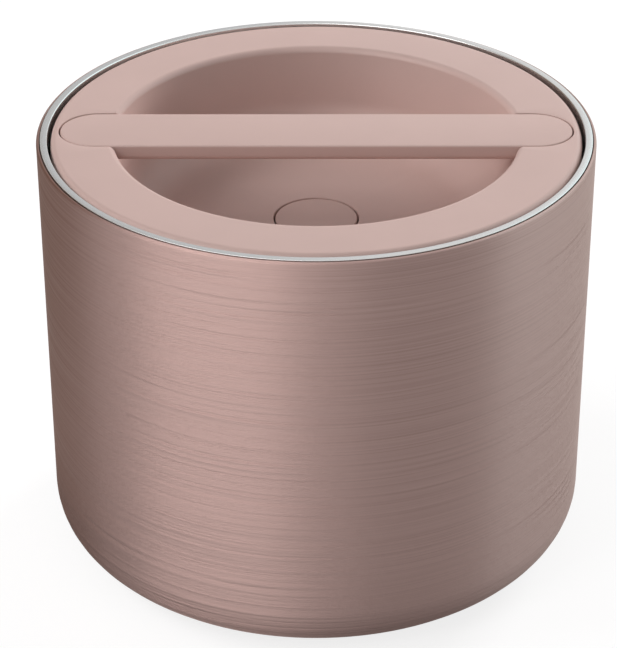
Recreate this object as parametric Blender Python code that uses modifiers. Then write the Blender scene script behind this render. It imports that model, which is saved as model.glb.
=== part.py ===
"""Double-wall insulated food jar with a flush screw lid, a fixed handle bar and a pressure vent button.

Metres, +Z up. The origin is on the jar's axis, on the surface that it stands on.
Lid pieces are drawn from the rim plane down and vent pieces from the button's top down.
"""

import math

import bmesh
import bpy

# Fits shared by all pieces
FIT = 0.0003                  # gap between pieces that touch
CUT_PAST = 0.001              # how far a cutter reaches past the face that it opens

# Jar walls
JAR_DIAMETER = 0.120
JAR_HEIGHT = 0.097            # floor to rim
JAR_CORNER = 0.012            # outer bottom corner radius
SHEET = 0.0006                # steel sheet of both walls
VACUUM_GAP = 0.0038           # between the side walls
BASE_GAP = 0.004              # between the two bottoms
VESSEL_CORNER = 0.010         # outer bottom corner radius of the vessel
LIP_WIDTH = 0.0012            # rolled rim of the vessel
LIP_HEIGHT = 0.0025
LIP_EDGE = 0.0004             # rounding of the rim
RIM_STEP = 0.0003             # the shell's edge lies this far below the rim

# Jar base
STANDING_RING = 0.0034        # flat ring between the corner and the recess
RECESS_DEPTH = 0.002          # recess in the bottom
PAD_PROUD = 0.0004            # the pad stands this far below the shell
DISC_DIAMETER = 0.050
PORT_DIAMETER = 0.004         # evacuation port in the bottom
GETTER_DIAMETER = 0.010
GETTER_HEIGHT = 0.0024
GETTER_OFFSET = 0.022         # from the axis
FOIL_THICKNESS = 0.0002
FOIL_MARGIN = 0.004           # bare vessel wall above and below the foil

# Screw thread
THREAD_STARTS = 3
THREAD_PITCH = 0.005          # between neighbouring ridges
THREAD_SPAN = 150.0           # degrees round the axis for each ridge
THREAD_DEPTH = 0.0016         # height of a ridge
THREAD_ROOT = 0.0024          # width of a ridge at its foot
THREAD_CREST = 0.0012         # width of a ridge at its top
THREAD_FADE = 18.0            # degrees over which a ridge rises at its ends
THREAD_STUB = 0.12            # share of the height left at the very ends
THREAD_RUNOUT = 0.0005        # plain barrel above and below the ridges
THREAD_FIT = 0.0004           # between a crest and the wall that it faces

# Lid mouldings
RIM_GAP = 0.001               # open ring between the rim and the flange
FLANGE_EDGE = 0.0008          # rounding of the flange
FLANGE_PLATE = 0.0024
LID_WALL = 0.002
FLANGE_WIDTH = 0.0117         # flat ring between the mouth and the finger well
WELL_EDGE = 0.0015            # rounding where the flange turns down
WELL_DEPTH = 0.0212
WELL_DRAFT = 6.0              # degrees that the wall leans in
WELL_CORNER = 0.010           # radius between wall and floor
FOAM_THICKNESS = 0.0054
GASKET_HEIGHT = 0.0042
GASKET_WIDTH = 0.0031
GASKET_CHAMFER = 0.001        # slanted sealing face
NOSE_GAP = 0.0008             # between the plug's nose and the vessel
NOSE_ROUND = 0.002

# Handle bar
BAR_END_WALL = 0.0016         # flange left outside the bar's tips
BAR_WIDTH = 0.016
BAR_THICKNESS = 0.0036
BAR_TOP_EDGE = 0.0004         # rounding along the top
BAR_GRIP_EDGE = 0.002         # rounding along the underside
BAR_SEAM = 0.0004             # gap round the bar in its pockets
POCKET_FLOOR = 0.0021
PEG_DIAMETER = 0.0056
SCREW_DIAMETER = 0.0026
SCREW_HEAD_DIAMETER = 0.006
SCREW_HEAD = 0.0018
SCREW_TIP_WALL = 0.0014       # bar left above the screw hole

# Vent
BUTTON_DIAMETER = 0.018
BUTTON_SEAM = 0.00035
BUTTON_EDGE = 0.0004
BUTTON_TOP = 0.0018
BUTTON_SKIRT = 0.0045
BUTTON_WALL = 0.0014
BUTTON_BOSS_DIAMETER = 0.0064
VENT_TRAVEL = 0.002
BOSS_ROOM = 0.0009            # left under the button's boss when it is pressed
STEM_DIAMETER = 0.0032
STEM_BLIND = 0.0007           # button left above the stem's hole
STEM_TIP = 0.0009             # pin past the clip groove
VENT_PASSAGE = 0.0007         # open ring round the stem in the plug's floor
POPPET_DIAMETER = 0.014
POPPET_HEIGHT = 0.0018
CLIP_DIAMETER = 0.0064
CLIP_THICKNESS = 0.0006
CLIP_GRIP = 0.0003            # how far the clip reaches into the stem
VENT_RING_SECTION = 0.0016
COLLAR_WALL = 0.002
TUBE_WALL = 0.0016
SPRING_WIRE = 0.0007
SPRING_TURNS = 4

# Facets
LARGE_STEPS = 48
SMALL_STEPS = 24
TINY_STEPS = 16
WIDE_ARC_STEPS = 6
ARC_STEPS = 4
EDGE_STEPS = 3
TRIM_STEPS = 2
TIP_STEPS = 10
COIL_STEPS = 12
MERGE = 0.00001               # points nearer than this are one
FLAT_ANGLE = 0.001            # radians under which two faces count as one
SHARP_ANGLE = math.radians(35.0)

# Radii and heights of the jar, from its axis and from the floor
jar_radius = JAR_DIAMETER / 2
shell_bore = jar_radius - SHEET
lip_radius = shell_bore - FIT
mouth_radius = lip_radius - LIP_WIDTH
vessel_radius = shell_bore - VACUUM_GAP
food_radius = vessel_radius - SHEET
recess_radius = jar_radius - JAR_CORNER - STANDING_RING
recess_roof = PAD_PROUD + RECESS_DEPTH
shell_floor = recess_roof + SHEET
vessel_bottom = shell_floor + BASE_GAP
disc_radius = DISC_DIAMETER / 2
port_radius = PORT_DIAMETER / 2

# Lid depths, from the rim plane down
pocket_depth = BAR_THICKNESS + FIT
skirt_depth = pocket_depth + POCKET_FLOOR + FIT
plug_top = skirt_depth + FIT
ridge_rise = THREAD_STARTS * THREAD_PITCH * THREAD_SPAN / 360.0
jar_ridge_top = plug_top + THREAD_RUNOUT + THREAD_ROOT / 2
lid_ridge_top = jar_ridge_top + THREAD_PITCH / 2
barrel_bottom = lid_ridge_top + ridge_rise + THREAD_ROOT / 2 + THREAD_RUNOUT
groove_bottom = barrel_bottom + GASKET_HEIGHT + 2 * FIT
well_underside = WELL_DEPTH + LID_WALL
plug_floor = max(
    well_underside + FOAM_THICKNESS + 2 * FIT,
    groove_bottom + NOSE_ROUND + LID_WALL,
)
plug_bottom = plug_floor + LID_WALL
collar_bottom = plug_floor - VENT_RING_SECTION - 2 * FIT
tube_top = well_underside + FIT

# Lid radii
flange_radius = mouth_radius - RIM_GAP
barrel_radius = mouth_radius - THREAD_DEPTH - THREAD_FIT
plug_bore = barrel_radius - LID_WALL
gasket_radius = barrel_radius
gasket_bore = gasket_radius - GASKET_WIDTH
groove_radius = gasket_bore - FIT
nose_radius = food_radius - NOSE_GAP
nose_bore = groove_radius - LID_WALL
well_radius = flange_radius - FLANGE_WIDTH      # where the rounding of the well's edge starts
button_hole = BUTTON_DIAMETER / 2 + BUTTON_SEAM
collar_radius = button_hole + COLLAR_WALL
tube_bore = collar_radius + FIT
tube_radius = tube_bore + TUBE_WALL
stem_radius = STEM_DIAMETER / 2
stem_hole = stem_radius + FIT

# The sealing shoulder lies one fit from the gasket's slanted face, both at 45 degrees
seal_sum = gasket_radius + barrel_bottom + FIT + GASKET_HEIGHT - GASKET_CHAMFER + FIT * math.sqrt(2)
shoulder_top = seal_sum - mouth_radius
shoulder_bottom = seal_sum - food_radius

# Turned pieces that are cut or joined by others are turned by this, so that no facet edges fall together
half_facet = math.pi / LARGE_STEPS

# Finger well: a leaning wall between the flange's rounding and a wide floor corner
draft = math.radians(WELL_DRAFT)
wall_start_radius = well_radius - WELL_EDGE * math.cos(draft)
wall_start_height = -WELL_EDGE * (1 - math.sin(draft))
corner_height = WELL_CORNER - WELL_DEPTH


def wall_radius(height, outside):
    """Radius of the well's wall at this height, moved out by outside along its normal."""
    lean = (height - wall_start_height) * math.sin(draft)
    return wall_start_radius + (outside + lean) / math.cos(draft)


corner_radius = wall_radius(corner_height, -WELL_CORNER)

# Handle bar
bar_half = flange_radius - BAR_END_WALL
bar_side = BAR_WIDTH / 2
peg_place = (wall_radius(-skirt_depth, LID_WALL) + plug_bore) / 2
peg_bottom = pocket_depth + POCKET_FLOOR - FIT
head_top = pocket_depth + POCKET_FLOOR + FIT
foam_ring_top = head_top + SCREW_HEAD + FIT

# Vent depths, from the button's top down
spring_seat = plug_floor - WELL_DEPTH
boss_bottom = spring_seat - VENT_TRAVEL - BOSS_ROOM
poppet_top = plug_bottom - WELL_DEPTH + FIT
poppet_bottom = poppet_top + POPPET_HEIGHT
clip_top = poppet_bottom + FIT
clip_bottom = clip_top + CLIP_THICKNESS
stem_bottom = clip_bottom + FIT + STEM_TIP
spring_radius = (BUTTON_BOSS_DIAMETER / 2 + BUTTON_DIAMETER / 2 - BUTTON_WALL) / 2

# Finishes: colour, roughness and metallic value
FINISHES = {
    "bare_steel": ((0.64, 0.63, 0.62), 0.3, 1.0),
    "rose_brushed_steel": ((0.44, 0.33, 0.30), 0.35, 1.0),
    "copper_foil": ((0.72, 0.36, 0.22), 0.3, 1.0),
    "rose_plastic": ((0.59, 0.42, 0.38), 0.45, 0.0),
    "plug_plastic": ((0.35, 0.34, 0.34), 0.5, 0.0),
    "silicone": ((0.62, 0.60, 0.58), 0.6, 0.0),
    "foam": ((0.86, 0.86, 0.84), 0.9, 0.0),
    "getter": ((0.30, 0.30, 0.31), 0.6, 1.0),
    "solder_glass": ((0.20, 0.17, 0.14), 0.2, 0.0),
}


def clear_scene():
    for obj in list(bpy.data.objects):
        bpy.data.objects.remove(obj, do_unlink=True)


def new_collection(name):
    collection = bpy.data.collections.new(name)
    bpy.context.scene.collection.children.link(collection)
    return collection


def finish(name):
    colour, roughness, metallic = FINISHES[name]
    material = bpy.data.materials.new(name)
    material.use_nodes = True
    shader = material.node_tree.nodes["Principled BSDF"]
    shader.inputs["Base Color"].default_value = (*colour, 1.0)
    shader.inputs["Roughness"].default_value = roughness
    shader.inputs["Metallic"].default_value = metallic
    return material


clear_scene()
parts = new_collection("food_jar")
cutters = new_collection("food_jar_cutters")


def frame(name, parent, height):
    """An empty on the axis that its pieces hang on."""
    empty = bpy.data.objects.new(name, None)
    parts.objects.link(empty)
    empty.parent = parent
    empty.location.z = height
    return empty


def place(obj, parent, material=None):
    """A piece with a material, or a helper that only cuts or joins."""
    obj.parent = parent
    if material:
        parts.objects.link(obj)
        obj.data.materials.append(material)
    else:
        cutters.objects.link(obj)
        obj.hide_render = True
        obj.display_type = "WIRE"
    return obj


def arc(centre, radius, start, end, steps=ARC_STEPS):
    """Profile points on a circle, from start to end degrees."""
    angles = [math.radians(start + (end - start) * i / steps) for i in range(steps + 1)]
    return [(centre[0] + radius * math.cos(a), centre[1] + radius * math.sin(a)) for a in angles]


def turned(name, outline, parent, material=None, steps=LARGE_STEPS, ring=True):
    """A profile of (radius, height) points turned round the axis; a ring closes on itself."""
    count = len(outline)
    edges = [(i, (i + 1) % count) for i in range(count if ring else count - 1)]
    mesh = bpy.data.meshes.new(name)
    mesh.from_pydata([(radius, 0.0, height) for radius, height in outline], edges, [])
    obj = place(bpy.data.objects.new(name, mesh), parent, material)
    screw = obj.modifiers.new("Turn", "SCREW")
    screw.steps = steps
    screw.render_steps = steps
    screw.use_merge_vertices = True
    screw.merge_threshold = MERGE
    screw.use_smooth_shade = True
    return obj


def combine(obj, other, operation):
    boolean = obj.modifiers.new(other.name, "BOOLEAN")
    boolean.operation = operation
    boolean.object = other


def weld_cuts(obj):
    """Closes the hairline slivers where cuts and unions cross."""
    weld = obj.modifiers.new("Weld", "WELD")
    weld.merge_threshold = MERGE


def evaluated_mesh(obj):
    bpy.context.view_layer.update()
    graph = bpy.context.evaluated_depsgraph_get()
    return bpy.data.meshes.new_from_object(obj.evaluated_get(graph))


def stadium(half_length, half_width):
    """Outline with straight sides along X and round ends."""
    middle = half_length - half_width
    right = arc((middle, 0.0), half_width, -90.0, 90.0, TIP_STEPS)
    left = arc((-middle, 0.0), half_width, 90.0, 270.0, TIP_STEPS)
    return right + left


def plate(name, outline, top, bottom, parent, material=None):
    """A flat outline between two heights, as a welded mesh."""
    curve = bpy.data.curves.new(name, "CURVE")
    curve.dimensions = "2D"
    curve.fill_mode = "BOTH"
    curve.extrude = (top - bottom) / 2
    spline = curve.splines.new("POLY")
    spline.points.add(len(outline) - 1)
    for point, (x, y) in zip(spline.points, outline):
        point.co = (x, y, 0.0, 1.0)
    spline.use_cyclic_u = True
    drawn = bpy.data.objects.new(name, curve)
    cutters.objects.link(drawn)
    mesh = evaluated_mesh(drawn)
    bpy.data.objects.remove(drawn)
    bpy.data.curves.remove(curve)
    shape = bmesh.new()
    shape.from_mesh(mesh)
    bmesh.ops.remove_doubles(shape, verts=shape.verts, dist=MERGE)
    bmesh.ops.dissolve_limit(shape, angle_limit=FLAT_ANGLE, verts=shape.verts, edges=shape.edges)
    bmesh.ops.recalc_face_normals(shape, faces=shape.faces)
    shape.to_mesh(mesh)
    shape.free()
    mesh.shade_smooth()
    mesh.set_sharp_from_angle(angle=SHARP_ANGLE)
    obj = place(bpy.data.objects.new(name, mesh), parent, material)
    obj.location.z = (top + bottom) / 2
    return obj


def cylinder(name, radius, top, bottom, x, parent):
    """A round cutter or peg standing at x on the lid's centre line."""
    mesh = bpy.data.meshes.new(name)
    shape = bmesh.new()
    bmesh.ops.create_cone(
        shape,
        cap_ends=True,
        segments=TINY_STEPS,
        radius1=radius,
        radius2=radius,
        depth=top - bottom,
    )
    shape.to_mesh(mesh)
    shape.free()
    obj = place(bpy.data.objects.new(name, mesh), parent)
    obj.location = (x, 0.0, (top + bottom) / 2)
    return obj


def thread_ridge(name, wall, foot, crest, top, parent):
    """A helical ridge from its foot inside the wall to its crest; top is the height of its upper end."""
    low = top - ridge_rise
    section = [
        (foot, low - THREAD_ROOT / 2),
        (crest, low - THREAD_CREST / 2),
        (crest, low + THREAD_CREST / 2),
        (foot, low + THREAD_ROOT / 2),
    ]
    steps = round(LARGE_STEPS * THREAD_SPAN / 360.0)
    swept = turned(name + "_sweep", section, parent, steps=steps)
    sweep = swept.modifiers["Turn"]
    sweep.angle = math.radians(THREAD_SPAN)
    sweep.screw_offset = ridge_rise
    mesh = evaluated_mesh(swept)
    bpy.data.objects.remove(swept)
    shape = bmesh.new()
    shape.from_mesh(mesh)
    open_edges = [edge for edge in shape.edges if edge.is_boundary]
    bmesh.ops.holes_fill(shape, edges=open_edges)
    for vert in shape.verts:
        radius = math.hypot(vert.co.x, vert.co.y)
        turn = math.degrees(math.atan2(vert.co.y, vert.co.x))
        rise = min(1.0, max(0.0, min(turn, THREAD_SPAN - turn) / THREAD_FADE))
        if abs(radius - crest) < abs(radius - foot):
            height = THREAD_STUB + (1.0 - THREAD_STUB) * rise
            scale = (wall + (crest - wall) * height) / radius
            vert.co.x *= scale
            vert.co.y *= scale
    bmesh.ops.recalc_face_normals(shape, faces=shape.faces)
    shape.to_mesh(mesh)
    shape.free()
    return place(bpy.data.objects.new(name, mesh), parent)


def add_thread(obj, name, wall, foot, crest, top, parent):
    """One ridge for each start, evenly round the axis, with its facets between those of the wall."""
    for start in range(THREAD_STARTS):
        ridge = thread_ridge(f"{name}_{start + 1}", wall, foot, crest, top, parent)
        ridge.rotation_euler.z = math.tau * start / THREAD_STARTS + half_facet
        combine(obj, ridge, "UNION")
    weld_cuts(obj)


def outer_shell(parent, material):
    """Outer wall, rounded bottom corner and a bottom recess with the evacuation port in it."""
    edge = JAR_HEIGHT - RIM_STEP
    corner = (jar_radius - JAR_CORNER, PAD_PROUD + JAR_CORNER)
    outside = [(jar_radius - SHEET / 2, edge), (jar_radius, edge - SHEET / 2)]
    outside += arc(corner, JAR_CORNER, 0.0, -90.0, WIDE_ARC_STEPS)
    outside += [(recess_radius, PAD_PROUD), (recess_radius, recess_roof), (port_radius, recess_roof)]
    inside = [
        (port_radius, shell_floor),
        (recess_radius + SHEET, shell_floor),
        (recess_radius + SHEET, PAD_PROUD + SHEET),
    ]
    inside += arc(corner, JAR_CORNER - SHEET, -90.0, 0.0, WIDE_ARC_STEPS)
    inside += [(shell_bore, edge - SHEET / 2)]
    return turned("outer_shell", outside + inside, parent, material)


def inner_vessel(parent, material):
    """Food vessel with a rolled rim, a straight threaded mouth and a sealing shoulder."""
    corner = (vessel_radius - VESSEL_CORNER, vessel_bottom + VESSEL_CORNER)
    mitre = SHEET * math.tan(math.radians(22.5))
    neck = mouth_radius + SHEET
    under_lip = JAR_HEIGHT - LIP_HEIGHT
    edge = JAR_HEIGHT - LIP_EDGE
    inside = [(0.0, vessel_bottom + SHEET)]
    inside += arc(corner, VESSEL_CORNER - SHEET, -90.0, 0.0)
    inside += [(food_radius, JAR_HEIGHT - shoulder_bottom), (mouth_radius, JAR_HEIGHT - shoulder_top)]
    lip = [(mouth_radius, edge), (mouth_radius + LIP_EDGE, JAR_HEIGHT)]
    lip += [(lip_radius - LIP_EDGE, JAR_HEIGHT), (lip_radius, edge)]
    outside = [(lip_radius, under_lip), (neck, under_lip)]
    outside += [(neck, JAR_HEIGHT - shoulder_top - mitre)]
    outside += [(vessel_radius, JAR_HEIGHT - shoulder_bottom - mitre)]
    outside += arc(corner, VESSEL_CORNER, 0.0, -90.0) + [(0.0, vessel_bottom)]
    vessel = turned("inner_vessel", inside + lip + outside, parent, material, ring=False)
    crest = mouth_radius - THREAD_DEPTH
    foot = mouth_radius + SHEET / 2
    add_thread(vessel, "vessel_thread", mouth_radius, foot, crest, JAR_HEIGHT - jar_ridge_top, parent)
    return vessel


def band(name, outer, inner, top, bottom, parent, material, steps=LARGE_STEPS):
    """A plain ring, or a plain disc where inner is zero."""
    if inner:
        outline = [(outer, top), (outer, bottom), (inner, bottom), (inner, top)]
    else:
        outline = [(0.0, top), (outer, top), (outer, bottom), (0.0, bottom)]
    return turned(name, outline, parent, material, steps, ring=bool(inner))


def vacuum_pieces(parent, copper, getter, solder):
    """What lies between the two walls, and the bead in the port."""
    foil_bore = vessel_radius + FIT
    foil_top = JAR_HEIGHT - shoulder_bottom - FOIL_MARGIN
    foil_bottom = vessel_bottom + VESSEL_CORNER + FOIL_MARGIN
    foil_radius = foil_bore + FOIL_THICKNESS
    band("heat_shield_foil", foil_radius, foil_bore, foil_top, foil_bottom, parent, copper)
    seat = shell_floor + FIT
    radius = GETTER_DIAMETER / 2
    pellet = band("getter_pellet", radius, 0.0, seat + GETTER_HEIGHT, seat, parent, getter, TINY_STEPS)
    pellet.location.x = GETTER_OFFSET
    bead = port_radius - FIT
    crown = shell_floor + bead / 2
    outline = [(0.0, crown), (bead / 2, crown), (bead, shell_floor)]
    outline += [(bead, recess_roof), (0.0, recess_roof)]
    turned("port_seal_bead", outline, parent, solder, TINY_STEPS, ring=False)


def base_pieces(parent, steel, silicone):
    """Steel disc over the port and the silicone ring round it, both under the recess."""
    roof = recess_roof - FIT
    band("base_disc", disc_radius, 0.0, roof, roof - SHEET, parent, steel)
    pad_radius = recess_radius - FIT
    band("foot_pad", pad_radius, disc_radius + FIT, roof, 0.0, parent, silicone)


def lid_cover(parent, material):
    """Flush flange, outer skirt and finger well, with a collar for the button and pockets for the bar."""
    skirt_bore = flange_radius - LID_WALL
    under = -well_underside
    outline = [(0.0, 0.0)]
    outline += arc((flange_radius - FLANGE_EDGE, -FLANGE_EDGE), FLANGE_EDGE, 90.0, 0.0, EDGE_STEPS)
    outline += [(flange_radius, -skirt_depth), (skirt_bore, -skirt_depth), (skirt_bore, -FLANGE_PLATE)]
    outline += [(wall_radius(-FLANGE_PLATE, LID_WALL), -FLANGE_PLATE)]
    outline += arc((corner_radius, corner_height), WELL_CORNER + LID_WALL, -WELL_DRAFT, -90.0)
    outline += [(collar_radius, under), (collar_radius, -collar_bottom), (0.0, -collar_bottom)]
    cover = turned("lid_cover", outline, parent, material, ring=False)
    cover.rotation_euler.z = half_facet

    surround = stadium(bar_half + LID_WALL / 2, bar_side + BAR_SEAM + LID_WALL)
    block_bottom = -pocket_depth - POCKET_FLOOR
    block = plate("pocket_surround", surround, -FLANGE_PLATE / 2, block_bottom, parent)
    combine(cover, block, "UNION")

    void = [(0.0, CUT_PAST), (well_radius, CUT_PAST)]
    void += arc((well_radius, -WELL_EDGE), WELL_EDGE, 90.0, 180.0 - WELL_DRAFT)
    void += arc((corner_radius, corner_height), WELL_CORNER, -WELL_DRAFT, -90.0, WIDE_ARC_STEPS)
    void += [(button_hole, -WELL_DEPTH), (button_hole, -collar_bottom - CUT_PAST)]
    void += [(0.0, -collar_bottom - CUT_PAST)]
    well = turned("finger_well", void, parent, ring=False)
    well.rotation_euler.z = half_facet
    combine(cover, well, "DIFFERENCE")

    opening = stadium(bar_half + BAR_SEAM, bar_side + BAR_SEAM)
    pocket = plate("bar_pocket", opening, CUT_PAST, -pocket_depth, parent)
    combine(cover, pocket, "DIFFERENCE")
    for side, x in (("left", -peg_place), ("right", peg_place)):
        hole_top = -pocket_depth + CUT_PAST
        hole_bottom = block_bottom - CUT_PAST
        hole = cylinder(f"peg_hole_{side}", PEG_DIAMETER / 2 + FIT, hole_top, hole_bottom, x, parent)
        combine(cover, hole, "DIFFERENCE")
    weld_cuts(cover)
    return cover


def lid_plug(parent, material):
    """Threaded barrel, gasket groove, nose and floor with a tube round the vent."""
    step_low = barrel_bottom - LID_WALL
    step_high = step_low - (plug_bore - nose_bore)
    round_centre = (nose_radius - NOSE_ROUND, -plug_bottom + NOSE_ROUND)
    outside = [(barrel_radius, -plug_top), (barrel_radius, -barrel_bottom)]
    outside += [(groove_radius, -barrel_bottom), (groove_radius, -groove_bottom)]
    outside += [(nose_radius, -groove_bottom)] + arc(round_centre, NOSE_ROUND, 0.0, -90.0, EDGE_STEPS)
    passage = stem_radius + VENT_PASSAGE
    inside = [(passage, -plug_bottom), (passage, -plug_floor)]
    inside += [(tube_bore, -plug_floor), (tube_bore, -tube_top)]
    inside += [(tube_radius, -tube_top), (tube_radius, -plug_floor)]
    inside += [(nose_bore, -plug_floor), (nose_bore, -step_low)]
    inside += [(plug_bore, -step_high), (plug_bore, -plug_top)]
    plug = turned("lid_plug", outside + inside, parent, material)
    crest = barrel_radius + THREAD_DEPTH
    foot = barrel_radius - LID_WALL / 4
    add_thread(plug, "plug_thread", barrel_radius, foot, crest, -lid_ridge_top, parent)
    return plug


def lid_filling(parent, foam, silicone):
    """Foam ring round the well, foam disc under it, and the gasket in its groove."""
    disc_top = -well_underside - FIT
    foam_radius = nose_bore - FIT
    band("lid_foam_disc", foam_radius, tube_radius + FIT, disc_top, -plug_floor + FIT, parent, foam)
    ring_bore = wall_radius(-foam_ring_top, LID_WALL) + FIT
    band("lid_foam_ring", foam_radius, ring_bore, -foam_ring_top, disc_top + FIT, parent, foam)
    top = -barrel_bottom - FIT
    bottom = top - GASKET_HEIGHT
    outline = [(gasket_radius, top), (gasket_radius, bottom + GASKET_CHAMFER)]
    outline += [(gasket_radius - GASKET_CHAMFER, bottom), (gasket_bore, bottom), (gasket_bore, top)]
    turned("lid_gasket", outline, parent, silicone)


def handle_bar(parent, material):
    """Round-ended bar with a soft underside and a screw peg near each tip."""
    bar = plate("handle_bar", stadium(bar_half, bar_side), 0.0, -BAR_THICKNESS, parent, material)
    weights = bar.data.attributes.new("bevel_weight_edge", "FLOAT", "EDGE")
    for edge in bar.data.edges:
        heights = [bar.data.vertices[i].co.z for i in edge.vertices]
        if min(heights) > 0.0:
            weights.data[edge.index].value = BAR_TOP_EDGE / BAR_GRIP_EDGE
        elif max(heights) < 0.0:
            weights.data[edge.index].value = 1.0
    soft = bar.modifiers.new("Edges", "BEVEL")
    soft.limit_method = "WEIGHT"
    soft.width = BAR_GRIP_EDGE
    soft.segments = EDGE_STEPS
    for side, x in (("left", -peg_place), ("right", peg_place)):
        peg_top = -BAR_THICKNESS / 2
        peg = cylinder(f"peg_{side}", PEG_DIAMETER / 2, peg_top, -peg_bottom, x, parent)
        combine(bar, peg, "UNION")
        hole_radius = SCREW_DIAMETER / 2 + FIT
        hole_bottom = -peg_bottom - CUT_PAST
        hole = cylinder(f"screw_hole_{side}", hole_radius, -SCREW_TIP_WALL, hole_bottom, x, parent)
        combine(bar, hole, "DIFFERENCE")
    weld_cuts(bar)
    return bar


def handle_screws(parent, material):
    """Pan-head screws from below, through the pocket floors into the pegs."""
    tip = -SCREW_TIP_WALL - FIT
    shank = SCREW_DIAMETER / 2
    head = SCREW_HEAD_DIAMETER / 2
    outline = [(0.0, tip), (shank / 2, tip), (shank, tip - shank), (shank, -head_top), (head, -head_top)]
    round_centre = (head - SCREW_HEAD / 2, -head_top - SCREW_HEAD / 2)
    outline += arc(round_centre, SCREW_HEAD / 2, 0.0, -90.0, TRIM_STEPS)
    outline += [(0.0, -head_top - SCREW_HEAD)]
    for side, x in (("left", -peg_place), ("right", peg_place)):
        screw = turned(f"handle_screw_{side}", outline, parent, material, TINY_STEPS, ring=False)
        screw.location.x = x


def vent_pieces(parent, plastic, steel, silicone):
    """Button, stem, valve disc and clip, which move down together."""
    radius = BUTTON_DIAMETER / 2
    boss = BUTTON_BOSS_DIAMETER / 2
    skirt = radius - BUTTON_WALL
    outline = [(0.0, 0.0)] + arc((radius - BUTTON_EDGE, -BUTTON_EDGE), BUTTON_EDGE, 90.0, 0.0, TRIM_STEPS)
    outline += [(radius, -BUTTON_SKIRT), (skirt, -BUTTON_SKIRT), (skirt, -BUTTON_TOP)]
    outline += [(boss, -BUTTON_TOP), (boss, -boss_bottom), (stem_hole, -boss_bottom)]
    outline += [(stem_hole, -STEM_BLIND), (0.0, -STEM_BLIND)]
    turned("vent_button", outline, parent, plastic, SMALL_STEPS, ring=False)

    stem_top = -STEM_BLIND - FIT
    neck = stem_radius - CLIP_GRIP - FIT
    groove_low = clip_bottom + FIT
    groove_high = clip_top - FIT
    outline = [(0.0, stem_top), (stem_radius, stem_top), (stem_radius, -groove_high)]
    outline += [(neck, -groove_high), (neck, -groove_low), (stem_radius, -groove_low)]
    outline += [(stem_radius, -stem_bottom), (0.0, -stem_bottom)]
    turned("vent_stem", outline, parent, steel, TINY_STEPS, ring=False)

    poppet = POPPET_DIAMETER / 2
    rim = POPPET_HEIGHT / 2
    outline = [(poppet, -poppet_top), (poppet, -poppet_top - rim), (poppet - rim, -poppet_bottom)]
    outline += [(stem_hole, -poppet_bottom), (stem_hole, -poppet_top)]
    turned("vent_poppet", outline, parent, silicone, SMALL_STEPS)
    clip_bore = stem_radius - CLIP_GRIP
    band("vent_clip", CLIP_DIAMETER / 2, clip_bore, -clip_top, -clip_bottom, parent, steel, TINY_STEPS)


def vent_ring(parent, material):
    """Round-section seal under the collar, on the plug's floor."""
    bpy.ops.mesh.primitive_torus_add(
        major_segments=SMALL_STEPS,
        minor_segments=TINY_STEPS // 2,
        major_radius=(button_hole + collar_radius) / 2,
        minor_radius=VENT_RING_SECTION / 2,
    )
    ring = bpy.context.object
    ring.name = "vent_ring"
    for collection in list(ring.users_collection):
        collection.objects.unlink(ring)
    place(ring, parent, material)
    ring.location = (0.0, 0.0, -plug_floor + FIT + VENT_RING_SECTION / 2)
    ring.data.shade_smooth()


def vent_spring(parent, material):
    """One unbroken coil between the plug's floor and the button's underside."""
    half = SPRING_WIRE / 2
    top = -BUTTON_TOP - FIT - half
    bottom = -spring_seat + FIT + half
    count = SPRING_TURNS * COIL_STEPS
    points = []
    for i in range(count + 1):
        turn = math.tau * i / COIL_STEPS
        height = bottom + (top - bottom) * i / count
        points.append((spring_radius * math.cos(turn), spring_radius * math.sin(turn), height))
    curve = bpy.data.curves.new("vent_spring", "CURVE")
    curve.dimensions = "3D"
    curve.bevel_depth = half
    curve.bevel_resolution = 1
    curve.use_fill_caps = True
    spline = curve.splines.new("POLY")
    spline.points.add(count)
    for point, place_of in zip(spline.points, points):
        point.co = (*place_of, 1.0)
    place(bpy.data.objects.new("vent_spring", curve), parent, material)
    apart = [
        math.dist(points[i], points[j]) - SPRING_WIRE
        for i in range(count + 1)
        for j in range(i + COIL_STEPS // 2, count + 1)
    ]
    print(f"vent_spring: least gap between its turns {min(apart) * 1000:.2f} mm")


finishes = {name: finish(name) for name in FINISHES}
steel = finishes["bare_steel"]
rose_plastic = finishes["rose_plastic"]
silicone = finishes["silicone"]

jar_axis = frame("jar_axis", None, 0.0)
lid_axis = frame("lid_axis", jar_axis, JAR_HEIGHT)
vent_axis = frame("vent_axis", lid_axis, -WELL_DEPTH)

outer_shell(jar_axis, finishes["rose_brushed_steel"])
inner_vessel(jar_axis, steel)
vacuum_pieces(jar_axis, finishes["copper_foil"], finishes["getter"], finishes["solder_glass"])
base_pieces(jar_axis, steel, silicone)
lid_cover(lid_axis, rose_plastic)
lid_plug(lid_axis, finishes["plug_plastic"])
lid_filling(lid_axis, finishes["foam"], silicone)
handle_bar(lid_axis, rose_plastic)
handle_screws(lid_axis, steel)
vent_ring(lid_axis, silicone)
vent_pieces(vent_axis, rose_plastic, steel, silicone)
vent_spring(vent_axis, steel)
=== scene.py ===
import math

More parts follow.
